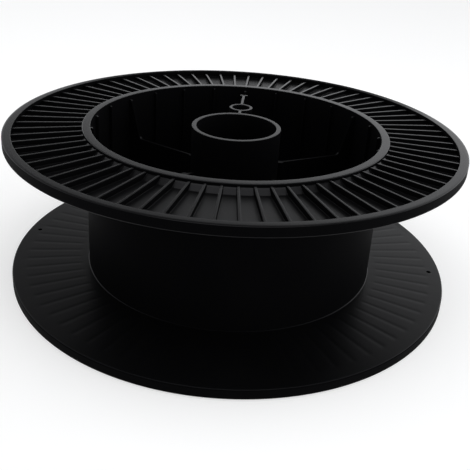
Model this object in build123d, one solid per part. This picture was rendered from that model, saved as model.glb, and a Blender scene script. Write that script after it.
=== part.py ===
from build123d import *
import os

# A flanged spool of black plastic, moulded in one piece. Millimetres; it stands on its
# lower flange, with its axis along +Z and the driving hole on the +Y side.

# Driving sizes of the winding drum and its two flanges
overall_width = 103.0  # over the inner rims, which the spool stands on
flange_diameter = 300.0
core_diameter = 198.0  # the drum that the material is wound on
core_wall = 3.0
flange_depth = 6.8  # from the inner face of a flange to its inner rim's face
core_foot_bevel = 1.5

# The outer rim stands a little lower than the inner one, so the spool stands on the inner rim
outer_rim_setback = 0.5
outer_rim_width = 5.5
outer_rim_bevel = 1.0
outer_rim_back_bevel = 0.7
inner_rim_width = 5.5
rim_edge_bevel = 0.3

# Floor of the flange between the rims, with its slope up to the inner rim
floor_thickness = 2.2
slope_rise = 2.7
slope_length = 4.8

# Radial ribs on the outer face of each flange
rib_count = 72
rib_drop = 0.9  # below the outer rim
rib_thickness = 1.6
rib_seat = 0.8  # how far a rib runs into what carries it

# Hub and the tube of the driving hole beside it
bore_diameter = 52.5
hub_wall = 3.7
hub_setback = 1.5  # below the inner rims, at each end
driving_hole_diameter = 10.5
driving_hole_offset = 44.5  # from the axis of the bore
driving_tube_wall = 3.2

# Radial webs between hub and drum; they rise to the rims where they meet the drum
web_count = 6
web_thickness = 2.0
web_height = 40.0
web_tip_setback = 2.8  # below the inner rims
web_tip_reach = 2.2  # length of the web's highest edge, measured in from the drum
web_slope_reach = 8.3  # length that the steep edge takes, radially
web_shoulder_radius = 4.0

# Fin behind the driving tube, as tall as the tube, with a cross-piece along its end
fin_end = 77.8  # from the axis of the bore
fin_head_width = 5.8
fin_head_thickness = 1.6

# Short upright ribs inside the drum
wall_ribs_between_webs = 3
wall_rib_depth = 2.3
wall_rib_thickness = 1.5
wall_rib_setback = 1.8

# Holes in the flange floor for the ends of the winding
wire_hole_diameter = 3.0
wire_hole_edge_gap = 2.2  # from the outer rim's inner wall to the hole's centre
wire_hole_sides = 2

# Radii and heights; heights are measured from the middle plane
flange_radius = flange_diameter / 2
core_radius = core_diameter / 2
core_bore_radius = core_radius - core_wall
inner_rim_radius = core_bore_radius + inner_rim_width
outer_rim_bore_radius = flange_radius - outer_rim_width
hub_radius = bore_diameter / 2 + hub_wall
driving_tube_radius = driving_hole_diameter / 2 + driving_tube_wall
half_width = overall_width / 2
outer_rim_height = half_width - outer_rim_setback
flange_back = half_width - flange_depth
floor_height = flange_back + floor_thickness
slope_top = floor_height + slope_rise
rib_height = outer_rim_height - rib_drop
hub_half_height = half_width - hub_setback
web_tip = core_bore_radius - web_tip_reach
web_tip_height = half_width - web_tip_setback
web_shoulder = web_tip - web_slope_reach
rib_pitch = 360 / rib_count
web_pitch = 360 / web_count


def corner_of(face, radius, height):
    """The corner of an upright profile that lies at a radius and a height."""
    return face.vertices().sort_by_distance((radius, 0, height))[0]


def bevelled(face, corners):
    """Break the corners of a lathe profile, each given as (radius, height, bevel)."""
    for radius, height, bevel in corners:
        face = chamfer(corner_of(face, radius, height), bevel)
    return face


def drum_and_flanges():
    """The drum with both flanges, turned from the profile of its upper half."""
    outline = Polyline(
        (core_bore_radius, 0),
        (core_bore_radius, half_width),
        (inner_rim_radius, half_width),
        (inner_rim_radius, slope_top),
        (inner_rim_radius + slope_length, floor_height),
        (outer_rim_bore_radius, floor_height),
        (outer_rim_bore_radius, outer_rim_height),
        (flange_radius, outer_rim_height),
        (flange_radius, flange_back),
        (core_radius, flange_back),
        (core_radius, 0),
        close=True,
    )
    upper = bevelled(
        Plane.XZ * make_face(outline),
        [
            (core_bore_radius, half_width, rim_edge_bevel),
            (inner_rim_radius, half_width, rim_edge_bevel),
            (outer_rim_bore_radius, outer_rim_height, rim_edge_bevel),
            (flange_radius, outer_rim_height, outer_rim_bevel),
            (flange_radius, flange_back, outer_rim_back_bevel),
            (core_radius, flange_back, core_foot_bevel),
        ],
    )
    return revolve(upper + mirror(upper, Plane.XY), Axis.Z)


def flange_rib():
    """One rib of the upper flange, along +X from rim to rim."""
    depth = rib_height - floor_height + rib_seat
    length = outer_rim_bore_radius - inner_rim_radius + 2 * rib_seat
    middle = (outer_rim_bore_radius + inner_rim_radius) / 2
    return Pos(middle, 0, rib_height - depth / 2) * Box(length, rib_thickness, depth)


def hub():
    """The hub's tube, solid until its bore is cut."""
    return Cylinder(hub_radius, 2 * hub_half_height)


def driving_tube():
    """The tube round the driving hole, with the short link that ties it to the hub."""
    tube = Pos(0, driving_hole_offset) * Cylinder(driving_tube_radius, 2 * hub_half_height)
    link = Pos(0, driving_hole_offset / 2) * Box(
        web_thickness, driving_hole_offset, 2 * hub_half_height
    )
    return tube + link


def web():
    """One radial web along +X, with its steep ends at the drum above and below."""
    outline = Polyline(
        (0, 0),
        (0, web_height / 2),
        (web_shoulder, web_height / 2),
        (web_tip, web_tip_height),
        (core_radius - core_wall / 2, web_tip_height),
        (core_radius - core_wall / 2, 0),
        close=True,
    )
    upper = Plane.XZ * make_face(outline)
    upper = fillet(corner_of(upper, web_shoulder, web_height / 2), web_shoulder_radius)
    return extrude(upper + mirror(upper, Plane.XY), web_thickness / 2, both=True)


def driving_fin():
    """The tall fin from the driving tube towards the drum, closed by its cross-piece."""
    length = fin_end - driving_hole_offset
    fin = Pos(0, driving_hole_offset + length / 2) * Box(
        web_thickness, length, 2 * hub_half_height
    )
    head = Pos(0, fin_end - fin_head_thickness / 2) * Box(
        fin_head_width, fin_head_thickness, 2 * hub_half_height
    )
    return fin + head


def wall_rib():
    """One upright rib along the inside of the drum, at +X."""
    inner = core_bore_radius - wall_rib_depth
    depth = core_radius - core_wall / 2 - inner
    height = 2 * (half_width - wall_rib_setback)
    return Pos(inner + depth / 2, 0) * Box(depth, wall_rib_thickness, height)


def wire_hole():
    """Cutter for the wire hole beside +X, midway between two ribs, through both flanges."""
    radius = outer_rim_bore_radius - wire_hole_edge_gap
    return Rot(Z=-rib_pitch / 2) * Pos(radius, 0) * Cylinder(wire_hole_diameter / 2, overall_width)


def around_axis(piece, count, start=0.0):
    """Copies of a piece turned evenly round the axis."""
    return [Rot(Z=start + 360 * step / count) * piece for step in range(count)]


upper_ribs = around_axis(flange_rib(), rib_count)
lower_ribs = [mirror(rib, Plane.XY) for rib in upper_ribs]
webs = around_axis(web(), web_count, start=90)
wall_rib_pitch = web_pitch / (wall_ribs_between_webs + 1)
wall_ribs = []
for step in range(1, wall_ribs_between_webs + 1):
    wall_ribs += around_axis(wall_rib(), web_count, start=90 + step * wall_rib_pitch)

spool = drum_and_flanges() + upper_ribs + lower_ribs
spool += [hub(), driving_tube(), driving_fin()] + webs + wall_ribs

bore = Cylinder(bore_diameter / 2, overall_width)
driving_hole = Pos(0, driving_hole_offset) * Cylinder(driving_hole_diameter / 2, overall_width)
spool -= [bore, driving_hole] + around_axis(wire_hole(), wire_hole_sides)

os.makedirs("parts", exist_ok=True)
export_step(Pos(0, 0, half_width) * spool, "parts/spool.step")
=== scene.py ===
import math

import bmesh
import bpy
from mathutils import Matrix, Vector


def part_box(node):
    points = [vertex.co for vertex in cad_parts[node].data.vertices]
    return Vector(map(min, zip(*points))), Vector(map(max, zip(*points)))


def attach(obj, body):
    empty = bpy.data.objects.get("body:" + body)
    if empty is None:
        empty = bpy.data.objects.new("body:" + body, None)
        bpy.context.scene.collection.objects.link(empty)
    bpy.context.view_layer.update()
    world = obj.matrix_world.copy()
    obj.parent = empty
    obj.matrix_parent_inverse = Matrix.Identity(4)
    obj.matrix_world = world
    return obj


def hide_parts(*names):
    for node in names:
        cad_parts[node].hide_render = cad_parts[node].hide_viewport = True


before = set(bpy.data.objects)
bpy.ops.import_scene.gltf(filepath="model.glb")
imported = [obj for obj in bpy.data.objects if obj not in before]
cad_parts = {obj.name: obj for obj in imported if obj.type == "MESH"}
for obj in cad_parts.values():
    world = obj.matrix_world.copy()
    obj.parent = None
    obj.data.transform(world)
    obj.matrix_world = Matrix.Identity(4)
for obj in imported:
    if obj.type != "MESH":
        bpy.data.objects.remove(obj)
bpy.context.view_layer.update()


# Drum with both flanges
# The winding drum and its two ribbed flanges, the main body of the moulding: black
# styrene, glossy from the polished mould, with 72 radial ribs on each outer face.
lowest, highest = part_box("spool")
half_width = (highest.z - lowest.z) / 2
flange_radius = (highest.x - lowest.x) / 2
drum_radius = 0.0990
drum_bore = 0.0960
inner_rim_radius = drum_bore + 0.0055
outer_rim_bore = flange_radius - 0.0055
outer_rim_top = half_width - 0.0005
flange_back = half_width - 0.0068
floor_height = flange_back + 0.0022
slope_top = floor_height + 0.0027
slope_foot = inner_rim_radius + 0.0048
rib_count = 72
rib_start_height = half_width - 0.00092
rib_end_height = outer_rim_top - 0.0014
sink_depth = 0.00008
sink_spread = 0.0014
sink_fade = 0.0020
sink_end = outer_rim_bore - 0.0050
wire_hole_radius = 0.0015
wire_hole_place = outer_rim_bore - 0.0022
wire_hole_depth = 0.010
tiny = 1e-6


def arc(centre_radius, centre_height, radius, start, end, steps):
    """Points (radius, height) along an arc of a profile, angles in degrees."""
    points = []
    for step in range(steps + 1):
        angle = math.radians(start + (end - start) * step / steps)
        across, up = radius * math.cos(angle), radius * math.sin(angle)
        points.append((centre_radius + across, centre_height + up))
    return points


def drum_profile():
    """Upper half of the section, from the drum's bore over the flange to its outside."""
    edge, brow, crease, heel, foot = 0.0004, 0.0008, 0.0003, 0.0008, 0.0008
    crest_run, crest_drop = 0.0020, 0.0004
    profile = [(drum_bore, 0.0)]
    profile += arc(drum_bore + edge, half_width - edge, edge, 180, 90, 2)
    profile += arc(inner_rim_radius - brow, half_width - brow, brow, 90, 0, 4)
    profile += [(inner_rim_radius, slope_top)]
    profile += [(slope_foot - crease, floor_height + crease / 2)]
    profile += [(slope_foot + crease, floor_height)]
    profile += arc(outer_rim_bore - crease, floor_height + crease, crease, 270, 360, 2)
    profile += [(outer_rim_bore, outer_rim_top - 2 * crease)]
    profile += arc(outer_rim_bore + crease, outer_rim_top - crease, crease, 180, 90, 2)
    for across, up in arc(0, 0, 1, 90, 0, 6):
        crest_radius = flange_radius - crest_run * (1 - across)
        profile.append((crest_radius, outer_rim_top - crest_drop * (1 - up)))
    profile += arc(flange_radius - heel, flange_back + heel, heel, 0, -90, 3)
    profile += [(sink_end + sink_fade, flange_back), (sink_end, flange_back)]
    profile += [(slope_foot, flange_back), (slope_foot - sink_fade, flange_back)]
    profile += arc(drum_radius + foot, flange_back - foot, foot, 90, 180, 3)
    profile += [(drum_radius, 0.0)]
    return profile


def rib_section(radius):
    """Half of a rib's section as (distance from its middle, height), drafted and rounded."""
    top_half, rounding, base_half, toe = 0.00078, 0.0002, 0.00093, 0.00028
    along = (radius - inner_rim_radius) / (outer_rim_bore - inner_rim_radius)
    rib_top = rib_start_height + (rib_end_height - rib_start_height) * along
    section = [(0.0, rib_top)]
    section += arc(top_half - rounding, rib_top - rounding, rounding, 90, 0, 2)
    section += [(base_half, floor_height + toe)]
    section += [(base_half + toe / 3, floor_height + toe / 4)]
    section += [(base_half + toe, 0.0)]
    return section


def flange_sector():
    """One rib's share of the upper half, as a closed strip of quads."""
    half_pitch = math.pi / rib_count
    mesh = bmesh.new()
    rows = []
    for radius, height in drum_profile():
        section = rib_section(radius)
        section = [(-across, up) for across, up in reversed(section[1:])] + section
        stations = [(math.asin(across / radius), up) for across, up in section]
        middle = (half_pitch + stations[-1][0]) / 2
        stations = [(-half_pitch, 0.0), (-middle, 0.0)] + stations
        stations += [(middle, 0.0), (half_pitch, 0.0)]
        between_rims = inner_rim_radius - tiny < radius < outer_rim_bore + tiny
        ribbed = between_rims and flange_back < height < slope_top + tiny
        if not ribbed:
            last = len(stations) - 1
            stations = [(half_pitch * (2 * index / last - 1), 0.0) for index in range(last + 1)]
        behind_rib = slope_foot - tiny < radius < sink_end + tiny
        sunk = behind_rib and abs(height - flange_back) < tiny
        row = []
        for angle, rib_height in stations:
            z = max(height, rib_height)
            if sunk:
                z += sink_depth * math.exp(-((angle * radius / sink_spread) ** 2))
            row.append(mesh.verts.new((radius * math.cos(angle), radius * math.sin(angle), z)))
        rows.append(row)
    for first, second in zip(rows, rows[1:]):
        for column in range(len(first) - 1):
            corners = (first[column], first[column + 1], second[column + 1], second[column])
            mesh.faces.new(corners)
    bmesh.ops.remove_doubles(mesh, verts=mesh.verts, dist=1e-7)
    bmesh.ops.dissolve_degenerate(mesh, edges=mesh.edges, dist=1e-7)
    return mesh


def worked_out(tree, operation, first, second=None, clamped=False):
    """Output of a math node on one or two inputs, each an output of a node or a number."""
    node = tree.nodes.new("ShaderNodeMath")
    node.operation, node.use_clamp = operation, clamped
    for source, socket in zip((first, second), node.inputs):
        if isinstance(source, bpy.types.NodeSocket):
            tree.links.new(source, socket)
        elif source is not None:
            socket.default_value = source
    return node.outputs["Value"]


def passage(tree, source, start, end, first=0.0, last=1.0, smooth=False):
    """Output that goes from first to last while the source goes from start to end."""
    node = tree.nodes.new("ShaderNodeMapRange")
    node.interpolation_type = "SMOOTHSTEP" if smooth else "LINEAR"
    ends = {"From Min": start, "From Max": end, "To Min": first, "To Max": last}
    for socket, value in ends.items():
        node.inputs[socket].default_value = value
    tree.links.new(source, node.inputs["Value"])
    return node.outputs["Result"]


def blend_of(tree, share, first, second):
    """Output that is the first input where the share is 0, and the second where it is 1."""
    node = tree.nodes.new("ShaderNodeMix")
    tree.links.new(share, node.inputs["Factor"])
    tree.links.new(first, node.inputs["A"])
    if isinstance(second, float):
        node.inputs["B"].default_value = second
    else:
        tree.links.new(second, node.inputs["B"])
    return node.outputs["Result"]


def axes_of(tree, vector):
    """The three outputs X, Y and Z of a vector."""
    node = tree.nodes.new("ShaderNodeSeparateXYZ")
    tree.links.new(vector, node.inputs["Vector"])
    return node.outputs


def cloudiness(tree, place, scale, detail):
    """Output of a noise texture that is fixed to the piece."""
    node = tree.nodes.new("ShaderNodeTexNoise")
    node.inputs["Scale"].default_value = scale
    node.inputs["Detail"].default_value = detail
    tree.links.new(place, node.inputs["Vector"])
    return node.outputs["Fac"]


def moulded_black_plastic():
    """Black styrene: satin where the mould is grained, rubbed brighter on rims and rib tops, with
    painted shade on walls and on the far side of the outer rim.
    """
    material = bpy.data.materials.new("moulded_black_plastic")
    material.use_nodes = True
    tree = material.node_tree
    shader = tree.nodes["Principled BSDF"]
    shader.inputs["IOR"].default_value = 1.3
    shader.inputs["Specular Tint"].default_value = (0.42, 0.42, 0.45, 1)
    place = tree.nodes.new("ShaderNodeTexCoord").outputs["Object"]
    normal = tree.nodes.new("ShaderNodeNewGeometry").outputs["Normal"]
    position, slant = axes_of(tree, place), axes_of(tree, normal)
    flow = cloudiness(tree, place, 28.0, 3.0)

    # The black varies a little along the flow of the melt
    tint = tree.nodes.new("ShaderNodeValToRGB")
    tint.color_ramp.elements[0].color = (0.0018, 0.0018, 0.0020, 1)
    tint.color_ramp.elements[1].color = (0.0030, 0.0030, 0.0033, 1)
    tree.links.new(flow, tint.inputs["Fac"])
    tree.links.new(tint.outputs["Color"], shader.inputs["Base Color"])

    # Rims and rib tops are rubbed smoother than the floor between them
    height = worked_out(tree, "ABSOLUTE", worked_out(tree, "SUBTRACT", position["Z"], half_width))
    rubbed = passage(tree, height, rib_end_height - 0.0008, rib_end_height - 0.0002)
    satin = passage(tree, flow, 0.0, 1.0, 0.29, 0.40)
    polished = passage(tree, flow, 0.0, 1.0, 0.18, 0.28)
    finish = blend_of(tree, rubbed, satin, polished)

    # Walls and the slope are rougher than the flats, and their reflection is turned down to
    # nothing, save a little on the sheerest walls: painted shade that darkens the walls and the
    # slope
    tilt = worked_out(tree, "ABSOLUTE", worked_out(tree, "SUBTRACT", slant["Z"], 0.25))
    matt = passage(tree, tilt, 0.30, 0.50, 1.0, 0.0)
    flat_sheen = passage(tree, tilt, 0.30, 0.50, 0.0, 0.5)
    wall_sheen = passage(tree, worked_out(tree, "ABSOLUTE", slant["Z"]), 0.04, 0.14, 0.038, 0.0)
    sheen = worked_out(tree, "ADD", flat_sheen, wall_sheen)

    # The far side of the outer rim is rougher, and its reflection is turned almost off there:
    # painted shade that darkens that side of the rim
    level_place, reach = (tree.nodes.new("ShaderNodeVectorMath") for _ in range(2))
    level_place.operation, reach.operation = "MULTIPLY", "LENGTH"
    level_place.inputs[1].default_value = (1, 1, 0)
    tree.links.new(place, level_place.inputs[0])
    tree.links.new(level_place.outputs["Vector"], reach.inputs[0])
    rim_start, rim_full = outer_rim_bore - 0.0001, outer_rim_bore + 0.0003
    on_rim = passage(tree, reach.outputs["Value"], rim_start, rim_full)
    behind = passage(tree, position["Y"], 0.05, 0.12)
    back_rim_dull_and_shaded = worked_out(tree, "MULTIPLY", on_rim, behind)
    sheen_with_painted_shade = worked_out(tree, "MULTIPLY", sheen, passage(tree, back_rim_dull_and_shaded, 0.0, 1.0, 1.0, 0.06))
    roughness = blend_of(tree, worked_out(tree, "MAXIMUM", matt, back_rim_dull_and_shaded), finish, 0.60)
    tree.links.new(roughness, shader.inputs["Roughness"])
    # Reflection level, with the painted shade on the walls and on the far side of the outer rim
    tree.links.new(sheen_with_painted_shade, shader.inputs["Specular IOR Level"])

    # Fine grain of the mould
    bump = tree.nodes.new("ShaderNodeBump")
    bump.inputs["Strength"].default_value = 0.15
    bump.inputs["Distance"].default_value = 0.00005
    tree.links.new(cloudiness(tree, place, 2600.0, 2.0), bump.inputs["Height"])
    tree.links.new(bump.outputs["Normal"], shader.inputs["Normal"])
    return material


def polar_array_tree():
    """Geometry nodes that repeat a mesh evenly round the Z axis and weld the copies."""
    tree = bpy.data.node_groups.new("copies round the axis", "GeometryNodeTree")
    sizes = {
        "Piece": "NodeSocketGeometry",
        "Count": "NodeSocketInt",
        "First angle": "NodeSocketFloat",
        "Both ends": "NodeSocketBool",
        "Weld distance": "NodeSocketFloat",
        "Plastic": "NodeSocketMaterial",
    }
    for name, kind in sizes.items():
        tree.interface.new_socket(name, in_out="INPUT", socket_type=kind)
    tree.interface.new_socket("Ring", in_out="OUTPUT", socket_type="NodeSocketGeometry")
    nodes, link = tree.nodes, tree.links.new
    given, result = nodes.new("NodeGroupInput"), nodes.new("NodeGroupOutput")

    # The piece, with its mirror image at the other end where both ends have it
    mirrored = nodes.new("GeometryNodeTransform")
    mirrored.inputs["Scale"].default_value = (1, 1, -1)
    flipped = nodes.new("GeometryNodeFlipFaces")
    both, ends = nodes.new("GeometryNodeJoinGeometry"), nodes.new("GeometryNodeSwitch")
    link(given.outputs["Piece"], mirrored.inputs["Geometry"])
    link(mirrored.outputs["Geometry"], flipped.inputs["Mesh"])
    link(given.outputs["Piece"], both.inputs["Geometry"])
    link(flipped.outputs["Mesh"], both.inputs["Geometry"])
    link(given.outputs["Both ends"], ends.inputs["Switch"])
    link(given.outputs["Piece"], ends.inputs["False"])
    link(both.outputs["Geometry"], ends.inputs["True"])

    # One point for each copy, all on the axis, each turned by its share of a full turn
    line = nodes.new("GeometryNodeMeshLine")
    line.inputs["Offset"].default_value = (0, 0, 0)
    link(given.outputs["Count"], line.inputs["Count"])
    index = nodes.new("GeometryNodeInputIndex")
    share = worked_out(tree, "DIVIDE", index.outputs["Index"], given.outputs["Count"])
    step = worked_out(tree, "MULTIPLY", share, 2 * math.pi)
    rotation = nodes.new("ShaderNodeCombineXYZ")
    link(worked_out(tree, "ADD", step, given.outputs["First angle"]), rotation.inputs["Z"])
    placed = nodes.new("GeometryNodeInstanceOnPoints")
    link(line.outputs["Mesh"], placed.inputs["Points"])
    link(ends.outputs["Output"], placed.inputs["Instance"])
    link(rotation.outputs["Vector"], placed.inputs["Rotation"])

    # Real copies, welded where they meet
    real = nodes.new("GeometryNodeRealizeInstances")
    weld = nodes.new("GeometryNodeMergeByDistance")
    finish = nodes.new("GeometryNodeSetMaterial")
    link(placed.outputs["Instances"], real.inputs["Geometry"])
    link(real.outputs["Geometry"], weld.inputs["Geometry"])
    link(given.outputs["Weld distance"], weld.inputs["Distance"])
    link(weld.outputs["Geometry"], finish.inputs["Geometry"])
    link(given.outputs["Plastic"], finish.inputs["Material"])
    link(finish.outputs["Geometry"], result.inputs["Ring"])
    return tree


def mesh_of(name, mesh, modifiers=()):
    """Mesh data from a bmesh, after the modifiers that each function in the list adds."""
    seed = bpy.data.objects.new(name, bpy.data.meshes.new(name))
    mesh.to_mesh(seed.data)
    mesh.free()
    bpy.context.scene.collection.objects.link(seed)
    for add in modifiers:
        add(seed)
    evaluated = seed.evaluated_get(bpy.context.evaluated_depsgraph_get())
    data = bpy.data.meshes.new_from_object(evaluated)
    seed.modifiers.clear()
    bpy.data.objects.remove(seed)
    return data


def copies(count, first_angle=0.0, both_ends=False):
    """A function that adds the polar array to an object, its first copy at an angle in degrees."""

    def add(seed):
        array = seed.modifiers.new("copies", "NODES")
        array.node_group = ring_tree
        sizes = {
            "Count": count,
            "First angle": math.radians(first_angle),
            "Both ends": both_ends,
            "Weld distance": 2e-6,
            "Plastic": plastic,
        }
        for socket in ring_tree.interface.items_tree:
            if socket.name in sizes:
                array[socket.identifier] = sizes[socket.name]

    return add


def softened(seed):
    """Shade an object so that its flats stay flat and its rounded edges catch the light."""
    even = seed.modifiers.new("even shading", "WEIGHTED_NORMAL")
    even.weight, even.keep_sharp = 100, True


def moulded(name, data):
    """A piece of the moulding from mesh data about the middle plane, in its place on the frame."""
    sharp_corner = math.radians(50)
    mesh = bmesh.new()
    mesh.from_mesh(data)
    bmesh.ops.recalc_face_normals(mesh, faces=mesh.faces)
    for face in mesh.faces:
        face.smooth = True
        face.material_index = 0
    for edge in mesh.edges:
        edge.smooth = edge.calc_face_angle(0) < sharp_corner
    data = mesh_of(name, mesh, [softened])
    data.transform(Matrix.Translation((0, 0, half_width)))
    data.materials.clear()
    data.materials.append(plastic)
    data.name = name
    piece = bpy.data.objects.new(name, data)
    bpy.context.scene.collection.objects.link(piece)
    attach(piece, "root")
    return piece


def wire_hole_cutters():
    """Pins through the floor of each flange, opposite each other and midway between two ribs."""
    pins = bmesh.new()
    for side in (0, math.pi):
        turn = Matrix.Rotation(side - math.pi / rib_count, 4, "Z")
        for height in (-flange_back, flange_back):
            bmesh.ops.create_cone(
                pins,
                cap_ends=True,
                segments=32,
                radius1=wire_hole_radius,
                radius2=wire_hole_radius,
                depth=wire_hole_depth,
                matrix=turn @ Matrix.Translation((wire_hole_place, 0, height)),
            )
    return pins


def drilled(seed):
    """Cut the wire holes, which take the two ends of the winding."""
    drill = seed.modifiers.new("wire holes", "BOOLEAN")
    drill.operation, drill.solver, drill.object = "DIFFERENCE", "EXACT", pins


plastic = moulded_black_plastic()
ring_tree = polar_array_tree()
pins = bpy.data.objects.new("wire_hole_pins", mesh_of("wire_hole_pins", wire_hole_cutters()))
bpy.context.scene.collection.objects.link(pins)
drum_mesh = mesh_of("drum", flange_sector(), [copies(rib_count, both_ends=True), drilled])
drum = moulded("drum_and_flanges", drum_mesh)
bpy.data.objects.remove(pins)
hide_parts("spool")


# Hub
# The tube on the spool's axis that takes the machine's arbor, moulded with the webs; its
# ends stand 1.5 mm below the rims, and both mouths are broken by a small lead-in.
bore_radius = 0.02625
hub_radius = bore_radius + 0.0037
hub_half_height = half_width - 0.0015
hub_lead = 0.0008


def tube(inner, outer, lead, steps, offset=0.0):
    """A turned tube as tall as the hub, with tapered mouths, about the middle plane."""
    edge = 0.0003
    section = [(inner, hub_half_height - 2 * lead)]
    section += [(inner + lead - edge / 2, hub_half_height - edge)]
    section += [(inner + lead, hub_half_height - edge / 4)]
    section += [(inner + lead + edge / 2, hub_half_height)]
    section += arc(outer - edge, hub_half_height - edge, edge, 90, 0, 3)
    section += [(radius, -height) for radius, height in reversed(section)]
    mesh = bmesh.new()
    rings = []
    for radius, height in section:
        ring = []
        for step in range(steps):
            angle = 2 * math.pi * step / steps
            place = (radius * math.cos(angle), offset + radius * math.sin(angle), height)
            ring.append(mesh.verts.new(place))
        rings.append(ring)
    for first, second in zip(rings, rings[1:] + rings[:1]):
        for step in range(steps):
            after = (step + 1) % steps
            mesh.faces.new((first[step], first[after], second[after], second[step]))
    return mesh


moulded("hub", mesh_of("hub", tube(bore_radius, hub_radius, hub_lead, 192)))


# Driving tube
# The small tube behind the hub that takes the machine's driving pin, 44.5 mm off the axis. A
# link ties it to the hub, and a fin with a cross-piece on its end stands behind it.
driving_offset = 0.0445
driving_bore = 0.00525
driving_radius = driving_bore + 0.0032
driving_lead = 0.00125
web_thickness = 0.0020
fin_end = 0.0778
fin_head_width = 0.0058
fin_head_thickness = 0.0016
head_skin = 0.0002  # what is left of the cross-piece behind the fin's end
bar_seat = 0.0010  # how far a bar runs into the tube that it meets
bar_rounding = 0.00012


def plate(outline, thickness, rounding):
    """An upright plate in the XZ plane from its outline, with softened edges."""
    mesh = bmesh.new()
    front = [mesh.verts.new((x, -thickness / 2, z)) for x, z in outline]
    back = [mesh.verts.new((x, thickness / 2, z)) for x, z in outline]
    mesh.faces.new(front)
    mesh.faces.new(list(reversed(back)))
    count = len(outline)
    for index in range(count):
        after = (index + 1) % count
        mesh.faces.new((front[after], front[index], back[index], back[after]))
    bmesh.ops.recalc_face_normals(mesh, faces=mesh.faces)
    rims = [edge for edge in mesh.edges if len({vertex.co.y > 0 for vertex in edge.verts}) == 1]
    bmesh.ops.bevel(mesh, geom=rims, offset=rounding, segments=2, profile=0.5, affect="EDGES")
    return mesh


def bar(start, end, width):
    """An upright bar along +X from start to end, as tall as the hub."""
    bottom, top = -hub_half_height, hub_half_height
    return plate([(start, bottom), (end, bottom), (end, top), (start, top)], width, bar_rounding)


driving_tube = tube(driving_bore, driving_radius, driving_lead, 72, driving_offset)
moulded("driving_tube", mesh_of("driving_tube", driving_tube))
link_end = driving_offset - driving_radius
link_bar = bar(hub_radius - bar_seat, link_end + bar_seat, web_thickness)
moulded("driving_tube_link", mesh_of("link", link_bar, [copies(1, 90)]))
fin_start = driving_offset + driving_radius
fin_bar = bar(fin_start - bar_seat, fin_end - head_skin, web_thickness)
moulded("driving_tube_fin", mesh_of("fin", fin_bar, [copies(1, 90)]))
head_bar = bar(fin_end - fin_head_thickness, fin_end, fin_head_width)
moulded("fin_head", mesh_of("fin_head", head_bar, [copies(1, 90)]))


# Webs
# Six radial walls that carry the hub in the middle of the drum; where each meets the drum
# it climbs steeply to both rims. Beside the hub each has the round pad of an ejector pin.
web_count = 6
web_half_height = 0.0200
web_start = hub_radius - 0.0015
web_tip = drum_bore - 0.0022
web_tip_height = half_width - 0.0028
web_shoulder = web_tip - 0.0083
web_shoulder_radius = 0.0040
web_tip_radius = 0.0020
web_rounding = 0.0003
wall_middle = (drum_bore + drum_radius) / 2
pad_radius = 0.0023
pad_place = 0.0365
pad_setback = 0.00005


def both_halves(upper, thickness):
    """A plate from the upper half of its outline, mirrored below the middle plane."""
    return plate(upper + [(x, -z) for x, z in reversed(upper)], thickness, web_rounding)


def web():
    """One web along +X, from the hub's wall to the middle of the drum's wall."""
    slope = math.atan2(web_tip_height - web_half_height, web_tip - web_shoulder)
    incline = math.degrees(slope)
    shoulder_run = web_shoulder_radius * math.tan(slope / 2)
    shoulder = (web_shoulder - shoulder_run, web_half_height + web_shoulder_radius)
    tip_run = web_tip_radius * math.tan(slope / 2)
    tip = (web_tip + tip_run, web_tip_height - web_tip_radius)
    upper = [(web_start, web_half_height)]
    upper += arc(*shoulder, web_shoulder_radius, -90, incline - 90, 5)
    upper += arc(*tip, web_tip_radius, incline + 90, 90, 5)
    upper += [(wall_middle, web_tip_height)]
    return both_halves(upper, web_thickness)


def web_pad():
    """The round ejector pad of one web along +X, beside the hub and as tall as the web."""
    pad = bmesh.new()
    bmesh.ops.create_cone(
        pad,
        cap_ends=True,
        segments=40,
        radius1=pad_radius,
        radius2=pad_radius,
        depth=2 * (web_half_height - pad_setback),
        matrix=Matrix.Translation((pad_place, 0, 0)),
    )
    return pad


moulded("webs", mesh_of("webs", web(), [copies(web_count, 90)]))
moulded("web_pads", mesh_of("web_pads", web_pad(), [copies(web_count, 90)]))


# Drum ribs
# Three low upright ribs on the drum's bore between each pair of webs, moulded with it. They
# stop just short of the rims, each with a slanted end.
ribs_between_webs = 3
wall_rib_thickness = 0.0015
wall_rib_start = drum_bore - 0.0023
wall_rib_half_height = half_width - 0.0018
wall_rib_slant = 0.0012


def wall_rib():
    """One drum rib along +X, with its slanted ends above and below."""
    upper = [(wall_rib_start, wall_rib_half_height - wall_rib_slant)]
    upper += [(wall_rib_start + wall_rib_slant, wall_rib_half_height)]
    upper += [(wall_middle, wall_rib_half_height)]
    return both_halves(upper, wall_rib_thickness)


for place in range(1, ribs_between_webs + 1):
    first_angle = 90 + 360 / web_count * place / (ribs_between_webs + 1)
    name = f"drum_ribs_{place}"
    moulded(name, mesh_of(name, wall_rib(), [copies(web_count, first_angle)]))


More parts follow.
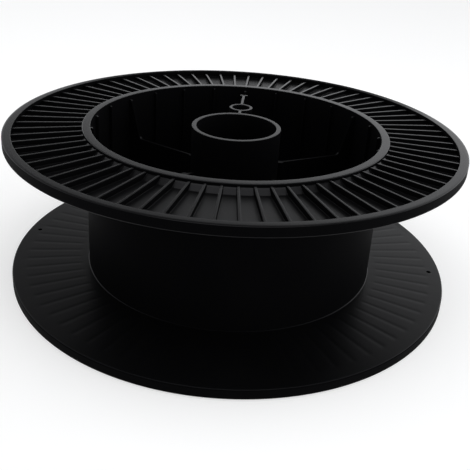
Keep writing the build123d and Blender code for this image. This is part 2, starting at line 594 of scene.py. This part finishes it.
# Floor
# The sheet of white paper that the spool stands on. It shows as white to the camera and in
# the plastic's gloss, without lighting the spool more, and keeps the spool's shadow.
floor_mesh = bmesh.new()
bmesh.ops.create_grid(floor_mesh, x_segments=1, y_segments=1, size=6.0)
floor = bpy.data.objects.new("floor", mesh_of("floor", floor_mesh))
bpy.context.scene.collection.objects.link(floor)
paper = bpy.data.materials.new("white_paper")
paper.use_nodes = True
sheet = paper.node_tree.nodes["Principled BSDF"]
sheet.inputs["Base Color"].default_value = (0.60, 0.60, 0.60, 1)
sheet.inputs["Roughness"].default_value = 0.9
sheet.inputs["Specular IOR Level"].default_value = 0.0
sheet.inputs["Emission Color"].default_value = (1, 1, 1, 1)
rays = paper.node_tree.nodes.new("ShaderNodeLightPath").outputs
seen = rays["Is Camera Ray"]
for kind in ("Is Glossy Ray", "Is Transmission Ray"):
    seen = worked_out(paper.node_tree, "ADD", seen, rays[kind], clamped=True)
glow = worked_out(paper.node_tree, "MULTIPLY", seen, 0.50)
paper.node_tree.links.new(glow, sheet.inputs["Emission Strength"])
floor.data.materials.append(paper)


# Studio light
# An even white studio: a bright backdrop low behind the spool, a dimmer ceiling, a panel at
# each side, and one large softbox overhead that gives the soft shadow on the floor.
studio = bpy.data.worlds.new("white_studio")
bpy.context.scene.world = studio
studio.use_nodes = True
room, background = studio.node_tree, studio.node_tree.nodes["Background"]
background.inputs["Color"].default_value = (0.97, 0.98, 1.0, 1)
direction = axes_of(room, room.nodes.new("ShaderNodeTexCoord").outputs["Generated"])
lean = worked_out(room, "MULTIPLY", direction["X"], 0.45)
leaning = worked_out(room, "SUBTRACT", direction["Z"], lean)
sideways = worked_out(room, "MULTIPLY", direction["X"], direction["X"])
backdrop = passage(room, leaning, 0.31, 0.43, 1.08, 0.41, smooth=True)
ceiling = passage(room, leaning, 0.50, 0.62, 0.0, 0.26, smooth=True)
panels = passage(room, sideways, 0.15, 0.40, 0.0, 0.7, smooth=True)
dimmed = worked_out(room, "SUBTRACT", backdrop, ceiling)
room.links.new(worked_out(room, "ADD", dimmed, panels), background.inputs["Strength"])
bpy.context.scene.view_settings.view_transform = "Standard"

softbox = bpy.data.lights.new("overhead_softbox", "AREA")
softbox.shape = "SQUARE"
softbox.size = 1.1
softbox.energy = 9.0
overhead = bpy.data.objects.new("overhead_softbox", softbox)
overhead.location = (0.0, -0.1, 1.5)
bpy.context.scene.collection.objects.link(overhead)


# Camera
# It stands where the photograph was taken from, a little above and in front of the spool. Its
# place, turn and lens come from a pinhole camera fitted to the outlines of both flanges.
photo_size = 470
focal_pixels = 673.02
principal_x, principal_y = 231.48, 178.77
camera_place = (0.02467, -0.42962, 0.24430)
camera_turn, camera_pitch, camera_roll = 3.40, 22.884, 3.385
view = bpy.data.cameras.new("photo_view")
view.sensor_width = 36.0
view.lens = focal_pixels / photo_size * view.sensor_width
middle_pixel = (photo_size - 1) / 2
view.shift_x = (middle_pixel - principal_x) / photo_size
view.shift_y = (principal_y - middle_pixel) / photo_size
view.clip_start = 0.01
camera = bpy.data.objects.new("photo_view", view)
camera.matrix_world = (
    Matrix.Translation(camera_place)
    @ Matrix.Rotation(math.radians(camera_turn), 4, "Z")
    @ Matrix.Rotation(math.radians(90 - camera_pitch), 4, "X")
    @ Matrix.Rotation(math.radians(camera_roll), 4, "Z")
)
bpy.context.scene.collection.objects.link(camera)
bpy.context.scene.camera = camera
